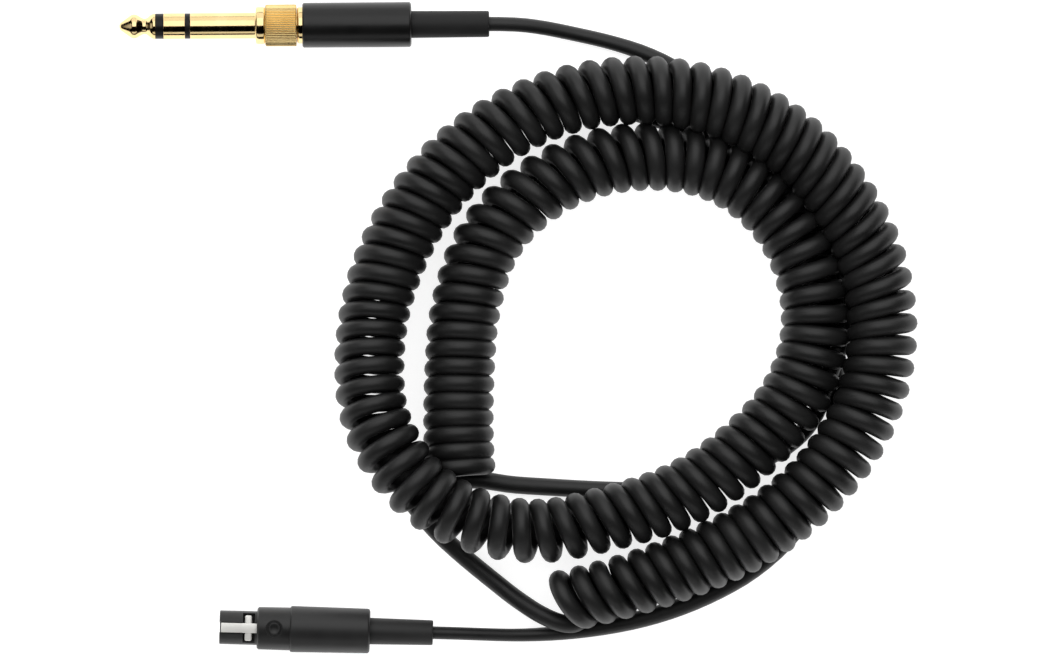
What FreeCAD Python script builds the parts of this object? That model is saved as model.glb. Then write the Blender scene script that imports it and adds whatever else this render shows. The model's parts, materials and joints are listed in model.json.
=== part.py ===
"""Coiled headphone cable: a jack plug with a screw-on adapter, a curly cord and a mini XLR socket.

Frame: +Z up, the cable lies on z = 0, the origin is below the middle of its bounding box.
Each connector is drawn along its own X axis, from its free end to its boot, then placed.
"""
import FreeCAD
import Part
import math
import os
import re
import Sketcher
from FreeCAD import Placement, Rotation, Vector

doc = FreeCAD.newDocument("headphone_cable")

# ---------------------------------------------------------------- driving dimensions (mm, degrees)
SIZES = {
    # 6.35 mm adapter, lengths measured from its tip
    "pin_radius": 3.175, "nose_radius": 2.95, "nose_point": 3.3, "waist_start": 5.8, "waist_end": 6.4,
    "waist_radius": 1.65, "tip_end": 8.8, "first_gap_end": 10.8, "ring_end": 16.0, "second_gap_end": 17.3,
    "shoulder_start": 33.4, "shoulder_end": 35.6, "shoulder_radius": 4.6, "grip_end": 43.3,
    "grip_radius": 5.1, "gap_radius": 3.14, "rod_radius": 0.6, "layer": 0.4, "rod_end": 25.0,
    "socket_start": 24.0, "flange": 0.3, "socket_radius": 2.65, "socket_end": 39.7, "press_radius": 4.0,
    "thread_bore": 3.05, "contact_bore": 1.82, "contact_radius": 2.3,
    # 3.5 mm plug inside it
    "plug_radius": 1.75, "plug_start": 26.0, "plug_nose": 1.6, "plug_waist": 0.95, "plug_tip_end": 29.5,
    "plug_gap": 0.6, "plug_ring_end": 32.5, "thread_radius": 3.0, "thread_start": 39.9, "core_radius": 0.5,
    "core_layer": 0.28, "core_end": 48.0, "wire_radius": 0.35, "neck_start": 43.4, "neck_end": 44.7,
    "neck_radius": 4.5, "base_end": 52.0,
    # jack housing and boot
    "housing_end": 71.3, "housing_radius": 5.5, "housing_bore": 4.6, "rear_wall": 2.0, "edge": 0.8,
    "boot_end": 90.3, "boot_radius": 3.3, "boot_end_radius": 3.15, "boot_flange": 4.4, "boot_nose": 1.2,
    # cord
    "lead_radius": 1.75, "coil_radius": 8.7,
    # mini XLR, lengths measured from the front of its nose
    "xlr_nose_radius": 4.13, "xlr_nose_bore": 3.55, "xlr_nose_end": 9.15, "xlr_frame_end": 26.0,
    "xlr_frame_radius": 3.9,
    "insert_end": 14.0, "pin_circle": 1.6, "pin_bore": 0.62, "socket_hole": 0.5,
    "cup_end": 17.0, "xlr_body_end": 17.2, "xlr_body_radius": 5.2,
    "shell_start_radius": 5.65, "shell_end_radius": 5.45, "shell_end": 36.7,
    "shell_bore": 4.5, "xlr_boot_end": 52.1, "xlr_boot_radius": 3.25, "xlr_boot_end_radius": 3.05,
    "slot_width": 2.8, "slot_floor": 2.0, "window_start": 5.7, "window_length": 2.95,
    "window_width": 7.0, "window_floor": 1.5, "latch_start": 0.4, "latch_width": 2.4,
    "latch_bottom": 3.35, "latch_thick": 0.5, "bar_start": 6.2, "bar_length": 1.7, "bar_width": 6.2,
    "bar_bottom": 2.45, "pivot_x": 24.0, "pivot_z": 3.0, "pivot_radius": 0.4, "pivot_length": 4.9,
    "eye_radius": 0.85, "running_gap": 0.05, "button_x": 13.4, "button_radius": 1.55,
    "button_flange": 1.9, "button_bottom": 3.95, "flange_top": 4.4, "button_top": 5.15,
    "button_dish": 3.0, "recess_radius": 2.1, "recess_floor": 4.6, "channel_top": 4.1,
}

JACK_FRAME = Placement(Vector(-97.4, 73.4, SIZES["housing_radius"]), Rotation(Vector(0, 0, 1), 0.4))
XLR_FRAME = Placement(Vector(-72.9, -73.2, SIZES["shell_start_radius"]), Rotation(Vector(0, 0, 1), -1.5))

sheet = doc.addObject("Spreadsheet::Sheet", "sizes")
for row, (alias, value) in enumerate(SIZES.items(), start=1):
    sheet.set(f"A{row}", alias)
    sheet.set(f"B{row}", str(value))
    sheet.setAlias(f"B{row}", alias)
doc.recompute()


def bound(text):
    """An expression on the sheet's cells, written with their bare aliases."""
    return re.sub(r"[a-z][a-z_]+", lambda word: "sizes." + word.group(0), str(text))


def value_of(text):
    return float(sheet.evalExpression(bound(text)))


nodes = []


def keep(item, label, frame):
    """Name a finished sub-part, put it in its place and list it for export."""
    item.Label = label
    item.Placement = frame
    nodes.append(item)
    return item


# ---------------------------------------------------------------- shape helpers
def turned(label, corners):
    """A turned piece: a closed outline of (length along X, radius) corners, revolved about X."""
    body = doc.addObject("PartDesign::Body", label + "_body")
    sketch = body.newObject("Sketcher::SketchObject", label + "_outline")
    plane = [o for o in body.Origin.OriginFeatures if o.Role == "XY_Plane"][0]
    sketch.AttachmentSupport = [(plane, "")]
    sketch.MapMode = "FlatFace"
    points = [Vector(value_of(x), value_of(r), 0) for x, r in corners]
    for start, end in zip(points, points[1:] + points[:1]):
        sketch.addGeometry(Part.LineSegment(start, end), False)
    count = len(points)
    for i in range(count):
        sketch.addConstraint(Sketcher.Constraint("Coincident", i, 2, (i + 1) % count, 1))
    for i, ((x, r), point) in enumerate(zip(corners, points)):
        for kind, text, size, axis in (("DistanceX", x, point.x, -2), ("DistanceY", r, point.y, -1)):
            if abs(size) < 1e-9:
                sketch.addConstraint(Sketcher.Constraint("PointOnObject", i, 1, axis))
                continue
            index = sketch.addConstraint(Sketcher.Constraint(kind, -1, 1, i, 1, size))
            sketch.setExpression(f"Constraints[{index}]", bound(text))
    turn = body.newObject("PartDesign::Revolution", label + "_turn")
    turn.Profile = sketch
    turn.ReferenceAxis = (sketch, ["H_Axis"])
    turn.Angle = 360.0
    body.Tip = turn
    return body


def sleeve(label, start, end, outer, inner):
    """A plain turned tube."""
    return turned(label, [(start, inner), (end, inner), (end, outer), (start, outer)])


def box(name, start, length, width, bottom, height):
    """A block centred on Y, from its start along X and its bottom along Z."""
    block = doc.addObject("Part::Box", name)
    for prop, text in (("Length", length), ("Width", width), ("Height", height),
                       ("Placement.Base.x", start), ("Placement.Base.y", f"-({width}) / 2"),
                       ("Placement.Base.z", bottom)):
        block.setExpression(prop, bound(text))
    return block


def rod(name, radius, length, place, turn=Rotation()):
    """A cylinder whose foot is at place (x, y, z expressions), along Z unless turned."""
    cylinder = doc.addObject("Part::Cylinder", name)
    cylinder.Placement.Rotation = turn
    cylinder.setExpression("Radius", bound(radius))
    cylinder.setExpression("Height", bound(length))
    for axis, text in zip("xyz", place):
        cylinder.setExpression(f"Placement.Base.{axis}", bound(text))
    return cylinder


def joined(name, *pieces):
    result = doc.addObject("Part::MultiFuse", name)
    result.Shapes = list(pieces)
    return result


def cut(name, base, *tools):
    result = doc.addObject("Part::Cut", name)
    result.Base = base
    result.Tool = tools[0] if len(tools) == 1 else joined(name + "_tools", *tools)
    return result


def on_circle(index, start, circle):
    """The place of one of three parallel rods, a third of a turn apart on a circle."""
    angle = math.radians(120 * index + 30)
    return (start, f"({circle}) * {math.cos(angle):.6f}", f"({circle}) * {math.sin(angle):.6f}")


ALONG_X = Rotation(Vector(0, 1, 0), 90)
ALONG_Y = Rotation(Vector(1, 0, 0), -90)


# ---------------------------------------------------------------- screw-on 6.35 mm adapter
def build_adapter():
    """Tip, ring and sleeve with their insulators, nested on a common rod, and the socket behind."""
    keep(turned("adapter_tip", [
        ("0", "0"), ("0", "0.3"), ("nose_point - 0.6", "nose_radius - 0.1"), ("nose_point", "nose_radius"),
        ("nose_point + 0.6", "nose_radius - 0.2"), ("waist_start", "waist_radius"),
        ("waist_end", "waist_radius"), ("tip_end - 1.2", "pin_radius - 0.15"), ("tip_end", "pin_radius"),
        ("tip_end", "rod_radius"), ("rod_end", "rod_radius"), ("rod_end", "0")]),
        "adapter_tip", JACK_FRAME)
    keep(turned("adapter_tip_insulator", [
        ("tip_end", "rod_radius"), ("rod_end - 0.2", "rod_radius"), ("rod_end - 0.2", "rod_radius + layer"),
        ("first_gap_end", "rod_radius + layer"), ("first_gap_end", "gap_radius"),
        ("tip_end", "gap_radius")]), "adapter_tip_insulator", JACK_FRAME)
    keep(turned("adapter_ring", [
        ("first_gap_end", "rod_radius + layer"), ("socket_start + flange", "rod_radius + layer"),
        ("socket_start + flange", "rod_radius + 2 * layer"), ("ring_end", "rod_radius + 2 * layer"),
        ("ring_end", "pin_radius"), ("first_gap_end", "pin_radius")]), "adapter_ring", JACK_FRAME)
    keep(turned("adapter_ring_insulator", [
        ("ring_end", "rod_radius + 2 * layer"), ("socket_start + flange", "rod_radius + 2 * layer"),
        ("socket_start + flange", "socket_radius"), ("socket_start", "socket_radius"),
        ("socket_start", "rod_radius + 3 * layer"), ("second_gap_end", "rod_radius + 3 * layer"),
        ("second_gap_end", "gap_radius"), ("ring_end", "gap_radius")]), "adapter_ring_insulator", JACK_FRAME)
    keep(turned("adapter_sleeve", [
        ("second_gap_end", "rod_radius + 3 * layer"), ("socket_start", "rod_radius + 3 * layer"),
        ("socket_start", "socket_radius"), ("socket_end", "socket_radius"), ("socket_end", "press_radius"),
        ("shoulder_end", "press_radius"), ("shoulder_end", "shoulder_radius"),
        ("shoulder_start", "shoulder_radius"), ("shoulder_start", "pin_radius"),
        ("second_gap_end", "pin_radius")]), "adapter_sleeve", JACK_FRAME)
    keep(turned("adapter_grip", [
        ("shoulder_end", "press_radius"), ("socket_end", "press_radius"), ("socket_end", "thread_bore"),
        ("grip_end", "thread_bore"), ("grip_end", "grip_radius"), ("shoulder_end", "grip_radius")]),
        "adapter_grip", JACK_FRAME)
    keep(turned("adapter_tip_contact", [
        ("rod_end", "0"), ("rod_end + layer", "0"), ("rod_end + layer", "contact_bore"),
        ("plug_start + 2.6", "contact_bore"), ("plug_start + 2.6", "contact_radius"),
        ("rod_end", "contact_radius")]), "adapter_tip_contact", JACK_FRAME)
    washer = sleeve("ring_contact_washer", "socket_start + flange", "socket_start + 2 * flange",
                    "contact_radius + 0.2", "rod_radius + layer")
    strip = box("ring_contact_strip", "socket_start + flange", "6.3", "0.8", "contact_radius + 0.05", "0.2")
    band = sleeve("ring_contact_band", "plug_tip_end + 0.8", "plug_ring_end - 0.1", "contact_radius + 0.2",
                  "contact_bore")
    keep(joined("ring_contact", washer, strip, band), "adapter_ring_contact", JACK_FRAME)
    keep(sleeve("adapter_sleeve_contact", "34.0", "35.5", "socket_radius", "contact_bore"),
         "adapter_sleeve_contact", JACK_FRAME)
    keep(sleeve("adapter_socket_liner", "36.0", "socket_end - 0.2", "socket_radius - 0.08",
                "contact_bore"), "adapter_socket_liner", JACK_FRAME)


# ---------------------------------------------------------------- 3.5 mm plug, housing and boot
def build_plug():
    """The plug that stays on the cord, its shell, crimp, cores and boot."""
    keep(turned("plug_tip", [
        ("plug_start", "0"), ("plug_start", "0.2"), ("plug_start + 1.3", "plug_nose"),
        ("plug_start + 2.4", "plug_waist"), ("plug_tip_end - 0.5", "plug_radius - 0.1"),
        ("plug_tip_end", "plug_radius - 0.1"), ("plug_tip_end", "core_radius"),
        ("core_end", "core_radius"), ("core_end", "0")]), "plug_tip", JACK_FRAME)
    layers = [("plug_tip_insulator", "plug_tip_end", "plug_tip_end + plug_gap", 0, "plug_radius - 0.15"),
              ("plug_ring", "plug_tip_end + plug_gap", "plug_ring_end", 1, "plug_radius"),
              ("plug_ring_insulator", "plug_ring_end", "plug_ring_end + plug_gap", 2, "plug_radius - 0.15")]
    for label, start, end, level, radius in layers:
        inner = f"core_radius + {level} * core_layer"
        outer = f"core_radius + {level + 1} * core_layer"
        back = f"core_end - {level + 1}"
        keep(turned(label, [(start, inner), (back, inner), (back, outer), (end, outer),
                            (end, radius), (start, radius)]), label, JACK_FRAME)
    core = "core_radius + 3 * core_layer"
    keep(sleeve("plug_sleeve", "plug_ring_end + plug_gap", "neck_start", "plug_radius", core),
         "plug_sleeve", JACK_FRAME)
    keep(turned("plug_base", [
        ("thread_start", "plug_radius"), ("neck_start", "plug_radius"), ("neck_start", core),
        ("neck_end", core), ("neck_end", "housing_bore - 1"), ("base_end", "housing_bore - 1"),
        ("base_end", "housing_bore"), ("neck_end", "housing_bore"), ("neck_end", "neck_radius"),
        ("neck_start", "neck_radius"), ("neck_start", "thread_radius"), ("thread_start", "thread_radius")]),
        "plug_base", JACK_FRAME)
    keep(turned("plug_housing", [
        ("neck_end", "housing_bore"), ("housing_end - rear_wall", "housing_bore"),
        ("housing_end - rear_wall", "boot_radius + 0.05"), ("housing_end", "boot_radius + 0.05"),
        ("housing_end", "housing_radius - edge"), ("housing_end - edge * 0.3", "housing_radius - edge * 0.3"),
        ("housing_end - edge", "housing_radius"), ("neck_end", "housing_radius")]),
        "plug_housing", JACK_FRAME)
    keep(turned("plug_boot", boot_outline("housing_end", "rear_wall", "boot_flange", "boot_radius",
                                          "boot_end", "boot_end_radius")), "plug_boot", JACK_FRAME)
    keep(clamp("plug_clamp", "core_end + 12", "housing_bore"), "plug_clamp", JACK_FRAME)
    keep(core_set("plug_conductors", "core_end", "10", "wire_radius * 1.2"), "plug_conductors", JACK_FRAME)


def boot_outline(shell_end, wall, flange, start_radius, end, end_radius):
    """A strain relief: a flange caught behind the shell's rear wall, and a slim tapered sleeve."""
    return [(f"{shell_end} - {wall} - 2", "lead_radius"), (end, "lead_radius"),
            (end, f"{end_radius} - boot_nose"),
            (f"{end} - boot_nose * 0.3", f"{end_radius} - boot_nose * 0.3"),
            (f"{end} - boot_nose", end_radius), (shell_end, start_radius),
            (f"{shell_end} - {wall}", start_radius), (f"{shell_end} - {wall}", flange),
            (f"{shell_end} - {wall} - 2", flange)]


def clamp(label, start, flange_radius):
    """The crimp on the cord, with a flange that fills the shell's bore."""
    barrel = "lead_radius + 0.6"
    return turned(label, [
        (start, "lead_radius"), (f"{start} + 3.5", "lead_radius"), (f"{start} + 3.5", barrel),
        (f"{start} + 1", barrel), (f"{start} + 1", flange_radius), (start, flange_radius)])


def core_set(name, start, length, circle):
    """Three insulated cores side by side, a third of a turn apart."""
    cores = []
    for i in range(3):
        cores.append(rod(f"{name}_{i + 1}", "wire_radius", length, on_circle(i, start, circle), ALONG_X))
    return joined(name + "_set", *cores)


# ---------------------------------------------------------------- mini XLR socket
def build_xlr():
    """Nose with its latch and contacts, body with the release button, shell and boot."""
    frame_tube = turned("xlr_nose_tube", [
        ("0", "xlr_nose_bore"), ("xlr_frame_end", "xlr_nose_bore"), ("xlr_frame_end", "xlr_frame_radius"),
        ("xlr_nose_end", "xlr_frame_radius"), ("xlr_nose_end", "xlr_nose_radius"), ("0", "xlr_nose_radius")])
    slot = box("nose_slot", "-1", "xlr_frame_end + 2", "slot_width", "slot_floor", "5")
    window = box("nose_window", "window_start", "window_length", "window_width", "window_floor", "5")
    button_hole = rod("nose_button_hole", "recess_radius", "5", ("button_x", "0", "slot_floor"))
    pivot_hole = rod("nose_pivot_hole", "pivot_radius", "pivot_length",
                     ("pivot_x", "-pivot_length / 2", "pivot_z"), ALONG_Y)
    keep(cut("xlr_nose_cut", frame_tube, slot, window, button_hole, pivot_hole), "xlr_nose", XLR_FRAME)

    plug = turned("xlr_insert_blank", [
        ("0.3", "0"), ("0.3", "xlr_nose_bore"), ("insert_end", "xlr_nose_bore"), ("insert_end", "0")])
    insert_slot = box("insert_slot", "-1", "insert_end + 2", "slot_width", "slot_floor", "5")
    insert_window = box("insert_window", "window_start", "window_length", "window_width", "window_floor", "5")
    holes = []
    for i in range(3):
        place = on_circle(i, "-1", "pin_circle")
        holes.append(rod(f"insert_hole_{i + 1}", "pin_bore", "insert_end + 2", place, ALONG_X))
    keep(cut("xlr_insert_cut", plug, insert_slot, insert_window, *holes), "xlr_insert", XLR_FRAME)
    for i in range(3):
        front = on_circle(i, "0.8", "pin_circle")
        outside = rod(f"contact_{i + 1}_outside", "pin_bore", "cup_end - 0.8", front, ALONG_X)
        inside = rod(f"contact_{i + 1}_inside", "socket_hole", "8", on_circle(i, "0", "pin_circle"), ALONG_X)
        keep(cut(f"contact_{i + 1}_cut", outside, inside), f"xlr_contact_{i + 1}", XLR_FRAME)

    arm = box("latch_arm", "latch_start", "pivot_x - latch_start", "latch_width", "latch_bottom",
              "latch_thick")
    bar = box("latch_bar", "bar_start", "bar_length", "bar_width - bar_length", "bar_bottom",
              "latch_bottom - bar_bottom + latch_thick / 2")
    bar_ends = [rod(f"latch_bar_end_{i + 1}", "bar_length / 2", "latch_bottom - bar_bottom + latch_thick / 2",
                    ("bar_start + bar_length / 2", f"{side} * (bar_width - bar_length) / 2", "bar_bottom"))
                for i, side in enumerate((-1, 1))]
    eye = rod("latch_eye", "eye_radius", "latch_width", ("pivot_x", "-latch_width / 2", "pivot_z"), ALONG_Y)
    eye_hole = rod("latch_eye_hole", "pivot_radius + running_gap", "latch_width + 2",
                   ("pivot_x", "-latch_width / 2 - 1", "pivot_z"), ALONG_Y)
    keep(cut("latch_cut", joined("latch_blank", arm, bar, *bar_ends, eye), eye_hole), "xlr_latch", XLR_FRAME)
    pin = doc.addObject("Part::Compound", "latch_pin")
    pin.Links = [rod("latch_pin_rod", "pivot_radius", "pivot_length",
                     ("pivot_x", "-pivot_length / 2", "pivot_z"), ALONG_Y)]
    keep(pin, "xlr_latch_pin", XLR_FRAME)

    body_tube = turned("xlr_body_blank", [
        ("xlr_nose_end", "xlr_frame_radius"), ("xlr_body_end", "xlr_frame_radius"),
        ("xlr_body_end", "xlr_body_radius + 0.05"), ("xlr_nose_end + 0.4", "xlr_body_radius"),
        ("xlr_nose_end", "xlr_body_radius - 0.4")])
    shaft_hole = rod("button_shaft_hole", "button_radius + running_gap", "5", ("button_x", "0", "slot_floor"))
    flange_hole = rod("button_flange_hole", "button_flange + running_gap", "flange_top + 0.05 - slot_floor",
                      ("button_x", "0", "slot_floor"))
    recess = rod("button_recess", "recess_radius", "2", ("button_x", "0", "recess_floor"))
    channel = box("body_latch_channel", "xlr_nose_end - 1", "xlr_body_end - xlr_nose_end + 2", "slot_width",
                  "slot_floor", "channel_top - slot_floor")
    keep(cut("xlr_body_cut", body_tube, shaft_hole, flange_hole, recess, channel), "xlr_body", XLR_FRAME)

    cap = rod("button_cap", "button_radius", "button_top - button_bottom", ("button_x", "0", "button_bottom"))
    flange = rod("button_flange_disc", "button_flange", "flange_top - button_bottom",
                 ("button_x", "0", "button_bottom"))
    dish = doc.addObject("Part::Sphere", "button_dish_ball")
    dish.setExpression("Radius", bound("button_dish"))
    dish.setExpression("Placement.Base.x", bound("button_x"))
    dish.setExpression("Placement.Base.z", bound("button_top + button_dish - 0.2"))
    keep(cut("button_cut", joined("button_blank", cap, flange), dish), "xlr_button", XLR_FRAME)

    keep(turned("xlr_backshell", [
        ("xlr_body_end", "shell_bore"), ("shell_end - rear_wall", "shell_bore"),
        ("shell_end - rear_wall", "xlr_boot_radius + 0.05"), ("shell_end", "xlr_boot_radius + 0.05"),
        ("shell_end", "shell_end_radius - edge"), ("shell_end - edge * 0.3", "shell_end_radius - edge * 0.3"),
        ("shell_end - edge", "shell_end_radius"), ("xlr_body_end + 0.4", "shell_start_radius"),
        ("xlr_body_end", "shell_start_radius - 0.4")]), "xlr_backshell", XLR_FRAME)
    keep(turned("xlr_boot", boot_outline("shell_end", "rear_wall", "boot_flange", "xlr_boot_radius",
                                         "xlr_boot_end", "xlr_boot_end_radius")), "xlr_boot", XLR_FRAME)
    keep(clamp("xlr_clamp", "cup_end + 11.2", "shell_bore"), "xlr_clamp", XLR_FRAME)
    keep(core_set("xlr_conductors", "cup_end", "10", "pin_circle - 0.25"), "xlr_conductors", XLR_FRAME)


# ---------------------------------------------------------------- cord
# Hand-chosen points (x, y, z) in mm. The lead leaves the jack, dips under the second loop, crosses
# over the other lead, follows the valley between the loops, passes under the first and meets its end.
JACK_LEAD = [
    (5.5, 73.3, 4.0), (13.5, 71.7, 2.1), (22.5, 69.7, 1.8),
    (30.0, 67.6, 3.2), (37.0, 65.2, 5.4), (45.0, 61.8, 5.4), (51.5, 57.6, 3.2), (58.0, 52.0, 1.8),
    (64.5, 44.5, 1.8), (70.0, 36.0, 1.8), (74.5, 27.0, 1.8), (77.5, 17.5, 1.8), (80.2, 7.5, 1.8),
    (80.3, -2.5, 1.8), (78.6, -12.0, 1.8), (74.0, -19.8, 1.8), (68.5, -26.2, 1.8), (61.5, -31.4, 1.8),
    (53.0, -35.6, 1.8), (44.0, -38.4, 1.8), (35.5, -39.7, 1.8), (26.5, -40.0, 1.8), (16.5, -39.6, 1.8),
    (6.5, -39.0, 1.8), (-2.0, -38.5, 1.8), (-8.0, -37.8, 1.9), (-13.0, -36.3, 2.0)]

# The other lead leaves the mini XLR, lies along the outer edge of the second loop, follows it all
# the way round underneath, comes out at the lower left, crosses over itself and meets the coil's end.
XLR_LEAD = [
    (-8.5, -75.0, 4.1), (0.5, -75.2, 2.1), (10.0, -74.6, 1.8),
    (20.0, -73.6, 1.8), (30.0, -71.8, 1.8), (39.5, -69.0, 1.8), (48.5, -65.2, 1.8), (57.0, -60.1, 1.8),
    (65.0, -53.6, 1.8), (72.5, -45.7, 1.8), (79.0, -36.5, 1.8), (84.5, -25.0, 1.8), (88.0, -12.0, 1.8),
    (88.5, 1.0, 1.8), (87.0, 13.5, 1.8), (83.5, 25.0, 1.8), (78.5, 35.0, 1.8), (72.0, 44.0, 1.8),
    (64.5, 51.8, 1.8), (56.5, 57.6, 1.8), (47.0, 61.7, 1.8), (35.5, 64.0, 1.8), (23.5, 64.0, 1.8),
    (11.5, 62.0, 1.8), (0.0, 57.9, 1.8), (-10.5, 51.8, 1.8), (-20.0, 44.0, 1.8), (-28.0, 35.2, 1.8),
    (-34.5, 25.0, 1.8), (-39.0, 14.0, 1.8), (-41.8, 2.5, 1.8), (-42.8, -9.5, 1.8), (-41.2, -21.5, 1.8),
    (-37.0, -32.8, 1.8), (-30.0, -42.5, 1.8), (-21.5, -50.0, 1.8), (-13.5, -56.5, 1.8), (-5.5, -63.0, 2.0),
    (2.0, -68.2, 4.4), (7.0, -71.2, 5.5), (12.8, -72.0, 5.5)]

# Middle line of the curly cord, from the jack lead's end round almost twice to the other lead's end.
# The points are one thirty-second of its turns apart. It lies on the leads where they run below it,
# and climbs over its own start at the lower left.
COIL = [
    (-14.0, -36.5, 8.7), (-14.7, -28.7, 8.7), (-14.5, -12.0, 8.7), (-13.3, 5.4, 8.7), (-7.0, 24.2, 8.7),
    (10.4, 38.0, 8.8), (31.0, 42.7, 8.9), (51.3, 39.2, 9.0), (67.4, 24.9, 9.1), (74.0, 3.6, 9.2),
    (69.4, -15.7, 9.8), (56.4, -29.9, 12.2), (40.9, -41.0, 12.4), (23.1, -46.6, 9.9), (1.5, -51.1, 11.5),
    (-21.7, -43.4, 20.0), (-35.4, -24.9, 14.5), (-36.8, -4.9, 10.6), (-33.4, 12.2, 10.5), (-25.1, 29.4, 10.5),
    (-12.4, 43.5, 10.5), (5.2, 54.1, 10.5), (25.7, 58.4, 10.8), (45.4, 56.5, 13.4), (62.6, 48.7, 13.2),
    (76.6, 35.6, 12.5), (86.5, 18.0, 12.3), (89.5, -2.0, 12.3), (85.4, -20.7, 12.2), (74.7, -37.1, 11.2),
    (59.9, -49.1, 9.9), (45.0, -59.5, 9.2), (26.5, -65.7, 8.9), (12.0, -66.3, 8.8)]
LOOP_SPLIT = 14          # the first loop ends half way to this point
ARC_SHARE = 0.45         # share of the shorter run that each arc takes


def rounded_path(label, points):
    """Straight runs joined by the largest tangent arcs that their lengths allow."""
    corners = [Vector(*point) for point in points]
    edges = []
    radii = []
    start = corners[0]
    for before, corner, after in zip(corners, corners[1:], corners[2:]):
        into = (corner - before).normalize()
        out = (after - corner).normalize()
        half_turn = into.getAngle(out) / 2
        reach = ARC_SHARE * min((corner - before).Length, (after - corner).Length)
        radius = reach / math.tan(half_turn)
        arc_start = corner - into * reach
        arc_end = corner + out * reach
        inward = (out - into).normalize()
        middle = corner + inward * (radius / math.cos(half_turn) - radius)
        edges.append(Part.LineSegment(start, arc_start).toShape())
        edges.append(Part.Arc(arc_start, middle, arc_end).toShape())
        radii.append(radius)
        start = arc_end
    edges.append(Part.LineSegment(start, corners[-1]).toShape())
    print(label, "arc radii", " ".join(f"{radius:.0f}" for radius in radii))
    return Part.Wire(edges)


def lead_start(frame, boot_end):
    """Where a lead leaves its boot, and a second point straight ahead of it."""
    exit_x = value_of(boot_end)
    return [tuple(frame.multVec(Vector(exit_x + ahead, 0, 0))) for ahead in (0, 5.5)]


def swept_tube(label, points, radius, tail=None):
    """A solid tube along a rounded path, and a straight tail back into its connector."""
    path = rounded_path(label, points)
    direction = Vector(*points[1]) - Vector(*points[0])
    section = Part.Face(Part.Wire(Part.makeCircle(radius, Vector(*points[0]), direction)))
    tube = path.makePipe(section)
    expected = math.pi * radius ** 2 * path.Length
    print(label, f"length {path.Length:.1f} volume {tube.Volume:.0f} section x length {expected:.0f}")
    if tail:
        frame, start, end = tail
        foot = frame.multVec(Vector(value_of(start), 0, 0))
        axis = frame.Rotation.multVec(Vector(1, 0, 0))
        tube = tube.fuse(Part.makeCylinder(radius, value_of(end) - value_of(start), foot, axis))
        tube = tube.removeSplitter()
    feature = doc.addObject("Part::Feature", label + "_tube")
    feature.Shape = tube
    return keep(feature, label, Placement())


def build_cord():
    """The two leads and the outer shape of the curly cord, in two loops that meet face to face."""
    split = tuple((a + b) / 2 for a, b in zip(COIL[LOOP_SPLIT - 1], COIL[LOOP_SPLIT]))
    swept_tube("jack_lead", lead_start(JACK_FRAME, "boot_end") + JACK_LEAD, value_of("lead_radius"),
               (JACK_FRAME, "core_end + 10", "boot_end"))
    swept_tube("coil_first_loop", COIL[:LOOP_SPLIT] + [split], value_of("coil_radius"))
    swept_tube("coil_second_loop", [split] + COIL[LOOP_SPLIT:], value_of("coil_radius"))
    swept_tube("xlr_lead", lead_start(XLR_FRAME, "xlr_boot_end") + XLR_LEAD, value_of("lead_radius"),
               (XLR_FRAME, "cup_end + 10", "xlr_boot_end"))


# ---------------------------------------------------------------- build, check and write
build_adapter()
build_plug()
build_xlr()
build_cord()
doc.recompute()

failed = [o.Name for o in doc.Objects if "Invalid" in o.State or "Error" in o.State]
if failed:
    raise RuntimeError(f"failed objects: {failed}")
os.makedirs("parts", exist_ok=True)
whole = FreeCAD.BoundBox()
for item in nodes:
    if item.Shape.isNull() or not item.Shape.isValid():
        raise RuntimeError(f"{item.Label} has no valid shape")
    whole.add(item.Shape.BoundBox)
    item.Shape.exportStep(f"parts/{item.Label}.step")
print(len(nodes), "nodes, box", whole)
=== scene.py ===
"""A curly headphone cable: gold jack with its adapter, coiled cord and mini XLR socket."""
import json
import math

import bmesh
import bpy
import numpy as np
from mathutils import Matrix, Vector


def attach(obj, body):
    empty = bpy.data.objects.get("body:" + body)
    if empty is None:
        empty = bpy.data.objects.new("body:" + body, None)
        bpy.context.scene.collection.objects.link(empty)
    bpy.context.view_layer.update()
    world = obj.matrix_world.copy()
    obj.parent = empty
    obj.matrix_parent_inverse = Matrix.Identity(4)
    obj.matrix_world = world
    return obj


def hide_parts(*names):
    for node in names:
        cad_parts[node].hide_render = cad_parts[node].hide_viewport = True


MM = 0.001
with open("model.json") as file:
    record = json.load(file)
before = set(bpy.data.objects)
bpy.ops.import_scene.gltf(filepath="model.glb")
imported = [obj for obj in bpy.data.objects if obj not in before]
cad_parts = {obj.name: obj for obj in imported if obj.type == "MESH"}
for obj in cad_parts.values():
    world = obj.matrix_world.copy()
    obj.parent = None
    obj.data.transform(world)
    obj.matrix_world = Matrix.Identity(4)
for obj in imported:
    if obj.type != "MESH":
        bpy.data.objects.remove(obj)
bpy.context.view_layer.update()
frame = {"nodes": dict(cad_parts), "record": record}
nodes = frame["nodes"]


def connector_frame(tip, turn):
    """Row-frame matrix of a connector drawn along its own X axis, in millimetres."""
    return (Matrix.Translation(Vector(tip) * MM) @ Matrix.Rotation(math.radians(turn), 4, "Z")
            @ Matrix.Scale(MM, 4))


JACK = connector_frame((-97.4, 73.4, 5.5), 0.4)
XLR = connector_frame((-72.9, -73.2, 5.65), -1.5)
JACK_BOOT_END = 90.3
XLR_BOOT_END = 52.1


# ---------------------------------------------------------------- materials
# Noise between these two values carries a texture from one end of its range to the other.
NOISE_LOW, NOISE_HIGH = 0.3, 0.7


def new_material(name, colour, roughness, metallic=0.0, **sockets):
    """A Principled material; further sockets are set by name with spaces as underscores."""
    material = bpy.data.materials.new(name)
    material.use_nodes = True
    shader = material.node_tree.nodes["Principled BSDF"]
    shader.inputs["Base Color"].default_value = (*colour, 1)
    shader.inputs["Roughness"].default_value = roughness
    shader.inputs["Metallic"].default_value = metallic
    for socket, value in sockets.items():
        shader.inputs[socket.replace("_", " ")].default_value = value
    return material


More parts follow.
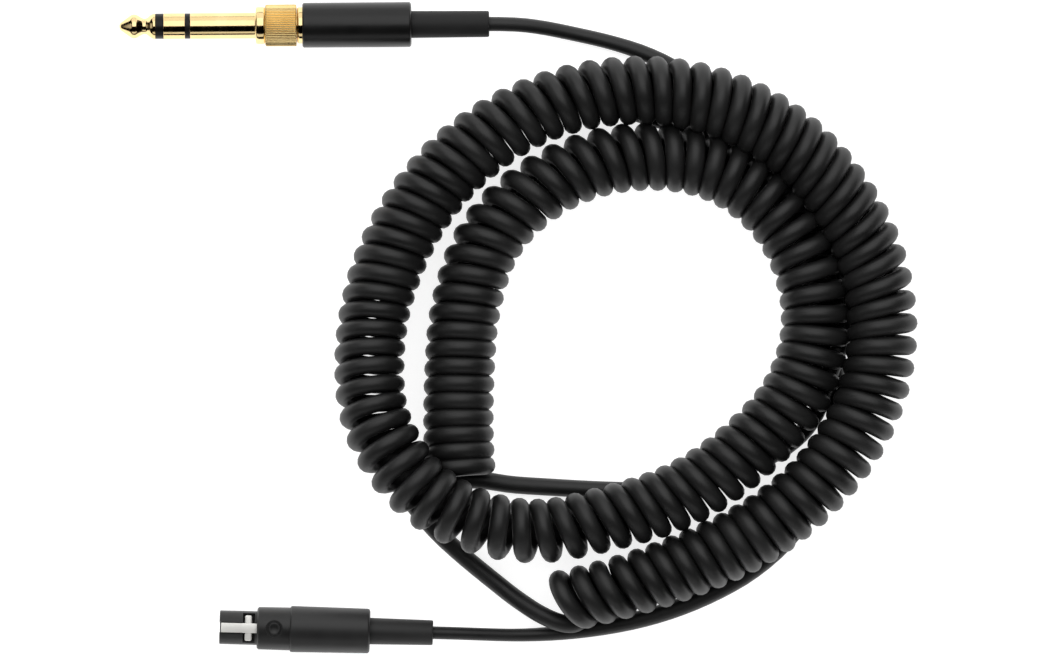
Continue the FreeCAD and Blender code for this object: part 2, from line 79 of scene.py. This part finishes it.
def noise(material, scale, detail=3.0, stretch=(1, 1, 1)):
    """Noise over the object's own coordinates, in metres, stretched along some axes."""
    tree = material.node_tree
    place = tree.nodes.new("ShaderNodeTexCoord")
    mapping = tree.nodes.new("ShaderNodeMapping")
    mapping.inputs["Scale"].default_value = stretch
    texture = tree.nodes.new("ShaderNodeTexNoise")
    texture.inputs["Scale"].default_value = scale
    texture.inputs["Detail"].default_value = detail
    tree.links.new(place.outputs["Object"], mapping.inputs["Vector"])
    tree.links.new(mapping.outputs["Vector"], texture.inputs["Vector"])
    return texture


def vary(material, texture, socket, low, high):
    """Links a number socket of the shader to the texture, between two values."""
    tree = material.node_tree
    spread = tree.nodes.new("ShaderNodeMapRange")
    spread.inputs["From Min"].default_value = NOISE_LOW
    spread.inputs["From Max"].default_value = NOISE_HIGH
    spread.inputs["To Min"].default_value = low
    spread.inputs["To Max"].default_value = high
    tree.links.new(texture.outputs["Fac"], spread.inputs["Value"])
    tree.links.new(spread.outputs["Result"], tree.nodes["Principled BSDF"].inputs[socket])


def tint(material, texture, dark, light):
    """Mixes the base colour between two by the texture."""
    tree = material.node_tree
    ramp = tree.nodes.new("ShaderNodeValToRGB")
    ramp.color_ramp.elements[0].position = NOISE_LOW
    ramp.color_ramp.elements[0].color = (*dark, 1)
    ramp.color_ramp.elements[1].position = NOISE_HIGH
    ramp.color_ramp.elements[1].color = (*light, 1)
    tree.links.new(texture.outputs["Fac"], ramp.inputs["Fac"])
    tree.links.new(ramp.outputs["Color"], tree.nodes["Principled BSDF"].inputs["Base Color"])


def bump(material, texture, strength, depth):
    """Bumps the surface by the texture. The depth is in metres."""
    tree = material.node_tree
    node = tree.nodes.new("ShaderNodeBump")
    node.inputs["Strength"].default_value = strength
    node.inputs["Distance"].default_value = depth
    tree.links.new(texture.outputs["Fac"], node.inputs["Height"])
    tree.links.new(node.outputs["Normal"], tree.nodes["Principled BSDF"].inputs["Normal"])


def grained(name, dark, light, roughness, grain, depth, **sockets):
    """A moulded or painted surface: fine grain, slight shade and gloss variation."""
    gloss_spread = 0.05
    material = new_material(name, light, roughness, **sockets)
    patches = noise(material, scale=90, detail=4)
    tint(material, patches, dark, light)
    vary(material, patches, "Roughness", roughness - gloss_spread, roughness + gloss_spread)
    bump(material, noise(material, scale=grain, detail=2), strength=0.35, depth=depth)
    return material


def machined(name, dark, light, roughness, spread, grain=(1, 0.05, 0.05), metallic=1.0, **sockets):
    """Worked metal: fine marks, by default rings round the part's axis, in its gloss and shade."""
    material = new_material(name, light, roughness, metallic, **sockets)
    marks = noise(material, scale=900, detail=2, stretch=grain)
    tint(material, noise(material, scale=160, detail=3), dark, light)
    vary(material, marks, "Roughness", roughness - spread, roughness + spread)
    bump(material, marks, strength=0.08, depth=0.00002)
    return material


GOLD = machined("polished gold", (0.86, 0.64, 0.31), (0.95, 0.73, 0.38), 0.12, 0.03)
KNURL_GOLD = machined("knurled gold", (0.80, 0.57, 0.24), (0.92, 0.69, 0.32), 0.22, 0.04, (0.05, 1, 1))
INSULATOR = grained("black insulator", (0.003, 0.003, 0.003), (0.006, 0.005, 0.005), 0.35, 3000, 0.00001,
                     Specular_IOR_Level=0.25)
HOUSING = grained("satin black shell", (0.002, 0.002, 0.002), (0.004, 0.004, 0.004), 0.34, 2600, 0.00002,
                  Specular_IOR_Level=0.42)
BOOT_RUBBER = grained("black rubber", (0.004, 0.004, 0.004), (0.008, 0.008, 0.008), 0.60, 2200, 0.00004,
                      Specular_IOR_Level=0.38)
CORD_JACKET = grained("black cord jacket", (0.004, 0.004, 0.004), (0.008, 0.008, 0.008), 0.47, 1500, 0.00003)
XLR_SHELL = grained("charcoal shell", (0.008, 0.008, 0.008), (0.014, 0.014, 0.014), 0.46, 2600, 0.00003)
XLR_BOOT = grained("charcoal rubber", (0.008, 0.008, 0.008), (0.014, 0.014, 0.014), 0.56, 2200, 0.00004)
XLR_NOSE = grained("black nose", (0.004, 0.004, 0.004), (0.008, 0.008, 0.008), 0.42, 2600, 0.00002)
NICKEL = machined("nickel plate", (0.62, 0.61, 0.58), (0.74, 0.73, 0.70), 0.38, 0.05, metallic=0.45)
SPRING_METAL = machined("spring metal", (0.60, 0.45, 0.20), (0.78, 0.60, 0.30), 0.30, 0.08)
CRIMP_METAL = machined("crimp metal", (0.40, 0.40, 0.40), (0.60, 0.60, 0.60), 0.40, 0.08)
CORE_WIRE = grained("core insulation", (0.30, 0.03, 0.03), (0.45, 0.06, 0.05), 0.45, 2600, 0.00002)

NODE_MATERIALS = {
    "gold": GOLD, "black_insulator": INSULATOR, "spring_brass": SPRING_METAL, "black_shell": HOUSING,
    "crimp_metal": CRIMP_METAL, "core_wire": CORE_WIRE, "black_rubber": BOOT_RUBBER,
    "charcoal_metal": XLR_NOSE, "latch_steel": NICKEL, "cord_jacket": CORD_JACKET,
}
for part in frame["record"]["subparts"]:
    mesh = nodes[part["node"]].data
    mesh.materials.clear()
    mesh.materials.append(NODE_MATERIALS[part["material_slot"]])


# ---------------------------------------------------------------- building helpers
def finish_mesh(name, built, place, material, body, replaced, sharp=40):
    """Turns a bmesh drawn in millimetres into a piece that rides on its body."""
    bmesh.ops.recalc_face_normals(built, faces=built.faces)
    mesh = bpy.data.meshes.new(name)
    built.to_mesh(mesh)
    built.free()
    mesh.transform(place)
    mesh.materials.append(material)
    mesh.polygons.foreach_set("use_smooth", [True] * len(mesh.polygons))
    mesh.set_sharp_from_angle(angle=math.radians(sharp))
    piece = bpy.data.objects.new(name, mesh)
    bpy.context.scene.collection.objects.link(piece)
    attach(piece, body)
    if replaced:
        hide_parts(*replaced)
    return piece


def rounded(outline, closed, steps=4):
    """An outline of (x, radius, corner rounding) points with each corner made a short curve."""
    points = []
    count = len(outline)
    for i, (x, r, *own) in enumerate(outline):
        corner = Vector((x, r))
        amount = own[0] if own else 0.0
        if amount <= 0 or (not closed and i in (0, count - 1)):
            points.append(corner)
            continue
        before = Vector(outline[i - 1][:2]) - corner
        after = Vector(outline[(i + 1) % count][:2]) - corner
        reach = min(amount, 0.49 * before.length, 0.49 * after.length)
        start = corner + before.normalized() * reach
        end = corner + after.normalized() * reach
        for step in range(steps + 1):
            t = step / steps
            points.append(start * (1 - t) ** 2 + corner * 2 * t * (1 - t) + end * t ** 2)
    return points


def lathe(name, place, outline, material, body, replaced=(), closed=False, segments=96,
          ribs=None):
    """A turned piece. ribs is (count, depth, start, end, least radius) of a straight knurl."""
    rib_count, rib_depth, ribs_start, ribs_end, least_radius = ribs or (0, 0, 0, 0, math.inf)
    groove_sharpness = 1.4
    on_axis = 1e-6
    built = bmesh.new()
    rows = []
    for x, r in rounded(outline, closed):
        if r < on_axis:
            rows.append([built.verts.new((x, 0, 0))])
            continue
        row = []
        for i in range(segments):
            angle = 2 * math.pi * i / segments
            radius = r
            if ribs_start <= x <= ribs_end and r > least_radius:
                radius -= rib_depth * (0.5 - 0.5 * math.cos(rib_count * angle)) ** groove_sharpness
            row.append(built.verts.new((x, radius * math.cos(angle), radius * math.sin(angle))))
        rows.append(row)
    pairs = list(zip(rows, rows[1:] + rows[:1])) if closed else list(zip(rows, rows[1:]))
    for first, second in pairs:
        for i in range(segments):
            j = (i + 1) % segments
            corners = [first[i % len(first)], first[j % len(first)],
                       second[j % len(second)], second[i % len(second)]]
            unique = list(dict.fromkeys(corners))
            if len(unique) > 2:
                built.faces.new(unique)
    return finish_mesh(name, built, place, material, body, replaced)


def soft_box(built, low, high, radius, segments=3):
    """Adds a block with rounded edges between two corners to the bmesh."""
    verts = bmesh.ops.create_cube(built, size=1.0)["verts"]
    middle = (Vector(low) + Vector(high)) / 2
    size = Vector(high) - Vector(low)
    for vert in verts:
        vert.co = Vector((vert.co.x * size.x, vert.co.y * size.y, vert.co.z * size.z)) + middle
    edges = list({edge for vert in verts for edge in vert.link_edges})
    bmesh.ops.bevel(built, geom=edges, offset=radius, segments=segments, profile=0.5,
                    affect="EDGES", clamp_overlap=True)


# ---------------------------------------------------------------- jack and adapter
KNURL_COUNT = 64


def build_adapter():
    """The gold pin, its insulating rings, the smooth shoulder and the knurled grip."""
    shell = "adapter_shell"
    lathe("adapter_nose", JACK, [
        (0.0, 0.0), (0.0, 0.5, 0.3), (0.4, 1.0, 0.4), (3.1, 2.98, 0.7), (4.1, 2.98, 0.7), (5.8, 1.92, 0.7),
        (6.6, 1.92, 0.5), (7.7, 2.85, 0.5), (8.3, 3.12, 0.3), (8.8, 3.15, 0.05), (8.8, 0.6), (25.0, 0.6),
        (25.0, 0.0)],
        GOLD, shell, ["adapter_tip"])
    lathe("adapter_front_band", JACK, [(8.8, 0.6), (8.8, 3.1, 0.1), (10.8, 3.1, 0.1), (10.8, 1.0),
                                       (24.8, 1.0), (24.8, 0.6)],
          INSULATOR, shell, ["adapter_tip_insulator"], closed=True)
    lathe("adapter_middle_ring", JACK, [(10.8, 1.0), (10.8, 3.175, 0.12), (16.05, 3.175, 0.12),
                                        (16.05, 1.4), (24.3, 1.4), (24.3, 1.0)],
          GOLD, shell, ["adapter_ring"], closed=True)
    lathe("adapter_rear_band", JACK, [(16.05, 1.4), (16.05, 3.1, 0.1), (17.3, 3.1, 0.1), (17.3, 1.8),
                                      (24.0, 1.8), (24.0, 2.65), (24.3, 2.65), (24.3, 1.4)],
          INSULATOR, shell, ["adapter_ring_insulator"], closed=True)
    lathe("adapter_pin_sleeve", JACK, [
        (17.3, 1.8), (17.3, 3.175, 0.12), (33.3, 3.175, 0.25), (33.3, 4.45, 0.45), (33.9, 4.6, 0.2),
        (35.2, 4.6, 0.2), (35.6, 4.35, 0.1), (35.6, 4.0), (39.7, 4.0), (39.7, 2.65), (24.0, 2.65),
        (24.0, 1.8)], GOLD, shell, ["adapter_sleeve"], closed=True)
    lathe("adapter_knurled_grip", JACK, [
        (35.6, 4.0), (35.6, 4.7, 0.1), (35.85, 5.1, 0.15), (37.0, 5.1), (40.0, 5.1), (43.1, 5.1, 0.1),
        (43.3, 4.9, 0.1), (43.3, 3.05), (39.7, 3.05), (39.7, 4.0)],
        KNURL_GOLD, shell, ["adapter_grip"], closed=True, segments=KNURL_COUNT * 8,
        ribs=(KNURL_COUNT, 0.30, 35.7, 43.2, 4.75))


def boot_outline(shell_end, boot_end, start_radius, end_radius):
    """Outline of a strain relief sleeve round the lead."""
    return [(shell_end - 4, 1.75), (shell_end - 4, 4.4), (shell_end - 2, 4.4), (shell_end - 2, start_radius),
            (shell_end + 0.3, start_radius, 0.2), (boot_end, end_radius, 0.9), (boot_end, 2.2, 0.35),
            (boot_end - 0.5, 1.75)]


def build_jack_shell():
    """The gold neck, the black housing and the boot behind it."""
    shell_end = 71.3
    lathe("jack_neck", JACK, [
        (39.9, 1.75), (39.9, 3.0, 0.1), (43.4, 3.0), (43.4, 4.2, 0.3), (43.8, 4.5, 0.2), (44.7, 4.5),
        (44.7, 4.6), (52.0, 4.6), (52.0, 3.6), (44.7, 3.6), (44.7, 1.34), (43.4, 1.34), (43.4, 1.75)],
        GOLD, "cable", ["plug_base"], closed=True)
    lathe("jack_housing", JACK, [
        (44.7, 4.6), (44.7, 5.2, 0.25), (45.0, 5.48, 0.25), (71.0, 5.5, 0.8), (shell_end, 4.9, 0.45),
        (shell_end, 3.35, 0.1), (69.3, 3.35), (69.3, 4.6)],
        HOUSING, "cable", ["plug_housing"], closed=True)
    lathe("jack_boot", JACK, boot_outline(shell_end, JACK_BOOT_END, 3.3, 3.2), BOOT_RUBBER, "cable",
          ["plug_boot"], closed=True)


# ---------------------------------------------------------------- mini XLR
def build_nose():
    """The nose: a thin tube with a lengthwise slot for the latch and a window for its cross bar."""
    outer, frame_radius, inner, lip_end, rim = 4.13, 3.9, 3.55, 9.15, 0.12
    slot_half, window_half, button_half = 1.4, 3.62, 2.1
    window_start, window_end, button_start, button_end = 5.7, 8.65, 11.35, 15.45
    stations = [0.0, rim, 2.0, 4.0, window_start, 7.2, window_end, lip_end - 0.01, lip_end,
                button_start, 12.4, 13.4, 14.4, button_end, 20.0, 23.5, 24.5, 26.0]
    slot_angle = math.asin(slot_half / outer)
    window_angle = math.asin(window_half / outer)
    button_angle = math.asin(button_half / outer)
    sides = [slot_angle, button_angle, window_angle]
    plain_cells = 27
    rest = np.linspace(window_angle, math.pi, plain_cells + 1)[1:]
    half = [0.0] + sides + list(rest)
    angles = half + [2 * math.pi - a for a in reversed(half[1:-1])]

    def open_cell(x, angle):
        """Whether the slot, the window or the button's hole takes this place out of the tube."""
        away = min(angle, 2 * math.pi - angle)
        if away < slot_angle:
            return True
        if window_start < x < window_end and away < window_angle:
            return True
        return button_start < x < button_end and away < button_angle

    built = bmesh.new()
    grid = {}

    def vertex(i, j, wall):
        """The grid's vertex at a station and angle, on the outside (wall 0) or the inside (wall 1)."""
        key = (i, j % len(angles), wall)
        if key not in grid:
            radius = inner if wall else (outer if stations[i] < lip_end else frame_radius)
            if wall == 0 and i == 0:
                radius -= rim
            angle = angles[j % len(angles)]
            grid[key] = built.verts.new((stations[i], radius * math.sin(angle), radius * math.cos(angle)))
        return grid[key]

    solid = {}
    for i in range(len(stations) - 1):
        for j in range(len(angles)):
            following = angles[(j + 1) % len(angles)] or 2 * math.pi
            middle = (angles[j] + following) / 2
            solid[i, j] = not open_cell((stations[i] + stations[i + 1]) / 2, middle)
    for (i, j), filled in solid.items():
        if not filled:
            continue
        for wall in (0, 1):
            built.faces.new([vertex(i, j, wall), vertex(i + 1, j, wall), vertex(i + 1, j + 1, wall),
                             vertex(i, j + 1, wall)])
        neighbours = [((i - 1, j), (i, j), (i, j + 1)), ((i + 1, j), (i + 1, j), (i + 1, j + 1)),
                      ((i, (j - 1) % len(angles)), (i, j), (i + 1, j)),
                      ((i, (j + 1) % len(angles)), (i, j + 1), (i + 1, j + 1))]
        for other, first, second in neighbours:
            if not solid.get(other, False):
                built.faces.new([vertex(*first, 0), vertex(*second, 0), vertex(*second, 1),
                                 vertex(*first, 1)])
    return finish_mesh("xlr_slotted_nose", built, XLR, XLR_NOSE, "cable", ["xlr_nose"], 25)


def build_latch():
    """The sprung strip with its bent tip, the cross bar with round ends and the hinge eye."""
    half_width, bar_half, eye_half = 1.18, 3.1, 1.2
    pin_radius, eye_radius, eye_sides = 0.45, 0.85, 24
    built = bmesh.new()
    soft_box(built, (0.4, -half_width, 3.35), (23.4, half_width, 3.85), 0.14)
    soft_box(built, (0.4, -half_width, 3.22), (0.95, half_width, 3.7), 0.14)
    soft_box(built, (6.2, -bar_half, 2.5), (7.9, bar_half, 3.62), 0.45, 4)
    eye = Matrix.Translation((24.0, 0, 3.0)) @ Matrix.Rotation(math.radians(90), 4, "X")
    rings = []
    for radius, y in ((pin_radius, -eye_half), (eye_radius, -eye_half), (eye_radius, eye_half),
                      (pin_radius, eye_half)):
        rings.append([built.verts.new(eye @ Vector((radius * math.cos(a), radius * math.sin(a), y)))
                      for a in np.linspace(0, 2 * math.pi, eye_sides, endpoint=False)])
    for first, second in zip(rings, rings[1:] + rings[:1]):
        for i in range(eye_sides):
            j = (i + 1) % eye_sides
            built.faces.new([first[i], first[j], second[j], second[i]])
    return finish_mesh("xlr_latch_strip", built, XLR, NICKEL, "latch", ["xlr_latch"], 35)


def build_xlr():
    """Nose, latch, button, shell and boot of the mini XLR."""
    button_x, shell_end = 13.4, 36.7
    pieces = [build_nose(), build_latch()]
    up = XLR @ Matrix.Translation((button_x, 0, 0)) @ Matrix.Rotation(math.radians(-90), 4, "Y")
    pieces.append(lathe("xlr_release_button", up, [
        (3.95, 0.0), (3.95, 1.9, 0.1), (4.4, 1.9, 0.1), (4.4, 1.55, 0.05), (5.15, 1.55, 0.3),
        (5.15, 1.05, 0.25), (4.98, 0.6, 0.3), (4.93, 0.0)],
        XLR_NOSE, "release_button", ["xlr_button"], segments=64))
    pieces.append(lathe("xlr_shell", XLR, [
        (17.2, 4.5), (17.2, 5.35, 0.25), (17.5, 5.65, 0.3), (36.3, 5.46, 0.6), (shell_end, 5.0, 0.4),
        (shell_end, 3.3, 0.1), (34.7, 3.3), (34.7, 4.5)],
        XLR_SHELL, "cable", ["xlr_backshell"], closed=True))
    pieces.append(lathe("xlr_boot_sleeve", XLR, boot_outline(shell_end, XLR_BOOT_END, 3.25, 3.05),
                        XLR_BOOT, "cable", ["xlr_boot"], closed=True))
    return pieces


# ---------------------------------------------------------------- cord
# The routes of the solids in millimetres. What lies under the coil is moved, so that both leads
# lie side by side in the valley between the two loops. The first lead leaves its solid by up to 5 mm and
# the second by up to 14 mm.
JACK_LEAD = [
    (5.5, 73.3, 4.0), (13.5, 71.7, 2.1), (22.5, 69.7, 1.9), (31.0, 67.0, 2.1), (39.0, 63.0, 2.2),
    (46.5, 57.0, 2.2), (53.0, 50.0, 2.2), (58.9, 44.1, 2.2), (64.8, 38.8, 2.2), (70.0, 32.5, 2.2),
    (74.0, 25.8, 2.2), (77.2, 18.4, 2.2), (79.3, 10.6, 2.2), (80.1, 3.8, 3.2), (79.3, -2.4, 5.6),
    (76.9, -8.8, 5.6), (75.0, -14.8, 4.0), (73.2, -20.4, 2.6), (69.9, -25.5, 2.2), (64.8, -29.8, 2.2),
    (58.0, -33.2, 2.2), (50.5, -36.2, 2.2), (43.0, -38.4, 2.2), (35.5, -39.7, 2.2), (26.5, -40.0, 2.2),
    (16.5, -39.6, 2.2), (6.5, -39.0, 2.2), (-2.0, -38.5, 2.2), (-8.0, -37.4, 2.2)]
XLR_LEAD = [
    (-8.5, -75.0, 4.1), (0.5, -75.3, 2.1), (10.0, -74.8, 1.9), (20.0, -73.5, 2.1), (30.0, -71.4, 2.2),
    (39.5, -68.5, 2.2), (48.5, -64.6, 2.2), (57.0, -59.8, 2.2), (65.0, -53.0, 2.2), (71.6, -44.6, 2.2),
    (76.2, -35.6, 2.2), (78.7, -27.4, 2.2), (78.2, -19.6, 2.2), (77.6, -11.8, 2.2), (76.8, -4.2, 2.2),
    (76.2, 3.2, 2.2), (75.2, 11.2, 2.2), (73.0, 19.2, 2.2), (69.5, 27.0, 2.2), (64.6, 34.1, 2.2),
    (58.5, 40.2, 2.2), (51.0, 45.3, 2.2), (43.0, 48.7, 2.2), (34.5, 50.6, 2.2), (26.0, 53.3, 2.2),
    (17.0, 56.2, 2.2), (7.0, 57.2, 2.2), (-3.0, 53.8, 2.2), (-12.0, 47.6, 2.2), (-20.0, 40.4, 2.2),
    (-27.2, 32.2, 2.2), (-32.8, 23.0, 2.2), (-37.0, 13.0, 2.2), (-39.7, 2.2, 2.2), (-40.8, -9.5, 2.2),
    (-39.2, -21.0, 2.2), (-33.9, -31.6, 2.2), (-27.4, -41.0, 2.2), (-20.8, -49.3, 2.2), (-13.2, -56.2, 2.2),
    (-5.0, -62.8, 2.3), (-1.6, -65.5, 2.9), (1.4, -67.6, 4.0), (4.3, -69.5, 5.0), (7.0, -70.9, 5.6),
    (9.6, -72.0, 5.8), (12.4, -72.6, 5.6), (14.8, -72.2, 4.8), (15.4, -70.7, 3.4), (14.4, -69.2, 2.8)]
COIL = [
    (-14.0, -36.5, 8.7), (-14.7, -28.7, 8.7), (-14.5, -12.0, 8.7), (-13.3, 5.4, 8.7), (-7.0, 24.2, 8.7),
    (10.4, 38.0, 8.8), (31.0, 42.7, 8.9), (51.3, 39.2, 9.0), (67.4, 24.9, 9.1), (74.0, 3.6, 9.2),
    (69.4, -15.7, 9.8), (56.4, -29.9, 12.2), (40.9, -41.0, 12.4), (23.1, -46.6, 9.9), (1.5, -51.1, 11.5),
    (-21.7, -43.4, 20.0), (-35.4, -24.9, 14.5), (-36.8, -5.7, 10.6), (-33.4, 12.2, 10.5), (-25.1, 29.4, 10.5),
    (-12.4, 43.5, 10.5), (5.2, 54.1, 10.5), (25.7, 58.4, 10.8), (45.4, 56.5, 13.4), (62.6, 48.7, 13.2),
    (76.6, 35.6, 12.5), (86.5, 18.0, 12.3), (89.5, -2.0, 12.3), (85.4, -20.7, 12.2), (74.7, -37.1, 11.2),
    (59.9, -49.4, 9.9), (43.8, -57.2, 9.2), (24.2, -64.0, 8.9), (10.8, -66.9, 8.8)]

# How the turns lie near each point of COIL: how far their right-hand side leads and how far their top
# leads (both in degrees), and their size against the usual turn.
TURN_LIE = [
    (-5, 5, 1.0), (-5, 5, 1.0), (-5, 5, 1.0), (-2, 7, 1.0), (5, 6, 0.98), (7.5, 5, 0.96), (2.5, 6, 0.96),
    (-2.5, 0, 0.98), (-4, -4, 1.0), (-7, -5, 1.01), (-4.5, -5, 1.01), (1.5, -6, 0.97), (7, -8, 0.97),
    (11, -5, 0.93), (-3, 0, 0.86), (-12, -2, 0.97), (-5, 9, 1.0), (0, 11.5, 1.02), (2, 9, 1.03),
    (2.5, 7, 1.03), (2.5, 7, 1.03), (5, 7, 0.97), (3.5, 5, 0.96), (0.5, 2, 0.98), (3.5, 4, 1.0),
    (10.5, 6, 1.0), (8, 2, 1.0), (1, -6, 1.0), (-4, -8, 1.0), (-5, -5, 0.97), (-4, -2, 0.97),
    (3, 0, 0.95), (9, 3, 0.88), (11, 21, 0.87)]
# Turns wound by each point of COIL.
TURNS_PER_SPAN = 4.03
TURNS_BY = [0.0, 2.0] + [2.0 + TURNS_PER_SPAN * i for i in range(1, 31)] + [127.4, 130.0]
POINTS_PER_TURN = 16
HELIX_RADIUS = 6.4
WIRE_RADIUS = 2.3

# The wire's share of WIRE_RADIUS. In the turns from 63 to 69 it is slimmer, so that light comes through
# between them. Each lead is slimmer near its boot than under the coil.
OPEN_TURNS = (62, 63, 69, 70.5)
OPEN_SHARE = (1.0, 0.93, 0.93, 1.0)
JACK_LEAD_POINTS = (4, 7)                     # from the boot
JACK_LEAD_SHARE = (0.765, 0.93)
XLR_LEAD_POINTS = (math.inf, 6, 3, 1)         # from the boot, backwards; the first is where the coil ends
XLR_LEAD_SHARE = (0.95, 0.95, 0.68, 0.68)
# Each lead's line starts inside its boot and leaves it straight.
INSIDE_BOOT = 2.0
OUTSIDE_BOOT = 5.5


def smooth_line(points, resolution=48):
    """Points along the NURBS line of these control points, evenly spaced in its parameter."""
    curve = bpy.data.curves.new("guide", "CURVE")
    curve.dimensions = "3D"
    spline = curve.splines.new("NURBS")
    spline.points.add(len(points) - 1)
    for point, place in zip(spline.points, points):
        point.co = (*place, 1.0)
    spline.order_u = 3
    spline.use_endpoint_u = True
    spline.resolution_u = resolution
    guide = bpy.data.objects.new("guide", curve)
    bpy.context.scene.collection.objects.link(guide)
    bpy.context.view_layer.update()
    mesh = bpy.data.meshes.new_from_object(guide)
    line = np.array([tuple(vertex.co) for vertex in mesh.vertices])
    bpy.data.objects.remove(guide)
    bpy.data.meshes.remove(mesh)
    bpy.data.curves.remove(curve)
    return line


def helix_points():
    """Points of the curly cord: right-handed turns round the coil's middle line."""
    centre = smooth_line(COIL)
    lie = smooth_line(TURN_LIE)
    along = np.gradient(centre, axis=0)
    steps = np.arange(len(centre))
    # The spline cuts inside its control points, so they stand out by this much more.
    polygon_gain = 4 / (3 + math.cos(2 * math.pi / POINTS_PER_TURN))
    result = []
    # The line comes nearest to each inner control point in the middle of its span.
    spans = len(COIL) - 2
    stations = [0.0] + [i + 0.5 for i in range(spans)] + [spans]
    for k in range(round(TURNS_BY[-1] * POINTS_PER_TURN) + 1):
        turn = k / POINTS_PER_TURN
        at = np.interp(turn, TURNS_BY, stations) / spans * (len(centre) - 1)
        middle = Vector([np.interp(at, steps, centre[:, axis]) for axis in range(3)])
        ahead = Vector([np.interp(at, steps, along[:, axis]) for axis in (0, 1)] + [0]).normalized()
        side_lead, top_lead, size = [np.interp(at, steps, lie[:, axis]) for axis in range(3)]
        up = Vector((0, 0, 1))
        left = up.cross(ahead)
        left = left * math.cos(math.radians(side_lead)) - ahead * math.sin(math.radians(side_lead))
        up = up * math.cos(math.radians(top_lead)) + ahead * math.sin(math.radians(top_lead))
        angle = 2 * math.pi * turn - math.pi / 2
        reach = HELIX_RADIUS * size * polygon_gain
        result.append(middle + (left * math.cos(angle) + up * math.sin(angle)) * reach)
    return result


def build_cord(pieces_on_it):
    """The whole cord from boot to boot as one line: lead, curly part, lead."""
    def leaving(place, distance):
        """The point at a distance along a connector's own axis, in millimetres."""
        return (place @ Vector((distance, 0, 0))) / MM

    start = [leaving(JACK, JACK_BOOT_END - INSIDE_BOOT), leaving(JACK, JACK_BOOT_END + OUTSIDE_BOOT)]
    end = [leaving(XLR, XLR_BOOT_END + OUTSIDE_BOOT), leaving(XLR, XLR_BOOT_END - INSIDE_BOOT)]
    first_lead = start + [Vector(point) for point in JACK_LEAD]
    last_lead = [Vector(point) for point in reversed(XLR_LEAD)] + end
    coil = helix_points()
    points = first_lead + coil + last_lead
    last = len(last_lead) - 1
    growth = np.interp(range(len(first_lead)), JACK_LEAD_POINTS, JACK_LEAD_SHARE)
    taper = np.interp(range(last + 1), [max(0, last - back) for back in XLR_LEAD_POINTS], XLR_LEAD_SHARE)
    turns = np.arange(len(coil)) / POINTS_PER_TURN
    thickness = [*growth, *np.interp(turns, OPEN_TURNS, OPEN_SHARE), *taper]
    curve = bpy.data.curves.new("curly_cord", "CURVE")
    curve.dimensions = "3D"
    curve.bevel_depth = WIRE_RADIUS * MM
    curve.bevel_resolution = 5
    curve.use_fill_caps = True
    spline = curve.splines.new("NURBS")
    spline.points.add(len(points) - 1)
    for point, place, share in zip(spline.points, points, thickness):
        point.co = (*(place * MM), 1.0)
        point.radius = share
    spline.order_u = 3
    spline.use_endpoint_u = True
    spline.resolution_u = 3
    curve.materials.append(CORD_JACKET)
    cord = bpy.data.objects.new("curly_cord", curve)
    bpy.context.scene.collection.objects.link(cord)
    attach(cord, "cable")
    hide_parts("jack_lead", "coil_first_loop", "coil_second_loop", "xlr_lead")
    return cord


build_adapter()
build_jack_shell()
build_cord(build_xlr())


# ---------------------------------------------------------------- floor, light and camera
def build_stage():
    """A plain white floor and soft studio light from above."""
    floor_level = -0.0002
    bpy.ops.mesh.primitive_plane_add(size=6.0, location=(0, 0, floor_level))
    floor = bpy.context.object
    floor.name = "floor"
    white = new_material("white floor", (0.45, 0.45, 0.45), 0.9, Specular_IOR_Level=0.0,
                         Emission_Color=(1, 1, 1, 1), Emission_Strength=0.8)
    floor.data.materials.append(white)
    world = bpy.data.worlds.new("studio")
    bpy.context.scene.world = world
    world.use_nodes = True
    world.node_tree.nodes["Background"].inputs["Color"].default_value = (1, 1, 1, 1)
    world.node_tree.nodes["Background"].inputs["Strength"].default_value = 0.9
    world.cycles_visibility.glossy = False
    # Each softbox: its name, place, size and radiance. All of them face the cable.
    softboxes = [
        ("key", (0.0, 0.44, 0.90), (1.3, 0.88), 1.5),
        ("back", (0.0, 0.93, 0.37), (1.6, 0.65), 1.1),
        ("fill", (0.0, -0.85, 0.43), (1.4, 0.34), 0.8),
        ("left", (-0.9, 0.1, 0.5), (0.6, 0.5), 0.5),
    ]
    for name, place, (width, height), radiance in softboxes:
        light = bpy.data.lights.new(name, "AREA")
        light.shape = "RECTANGLE"
        light.size = width
        light.size_y = height
        light.energy = radiance * math.pi * width * height
        lamp = bpy.data.objects.new(name, light)
        bpy.context.scene.collection.objects.link(lamp)
        lamp.location = place
        lamp.rotation_euler = (-Vector(place)).to_track_quat("-Z", "Y").to_euler()


def build_camera():
    """Straight above, from far enough away that height hardly changes size."""
    height = 4.0
    view_width = 253.41 * MM
    middle_x, middle_y = 0.29 * MM, 0.05 * MM
    # The view is this wide at the level of the coil's middle line.
    coil_level = 8.7 * MM
    lens = bpy.data.cameras.new("camera")
    lens.sensor_fit = "HORIZONTAL"
    lens.sensor_width = 36.0
    lens.lens = lens.sensor_width * (height - coil_level) / view_width
    lens.clip_end = 20.0
    camera = bpy.data.objects.new("camera", lens)
    camera.location = (middle_x, middle_y, height)
    bpy.context.scene.collection.objects.link(camera)
    bpy.context.scene.camera = camera


build_stage()
build_camera()
bpy.context.scene.view_settings.view_transform = "Standard"
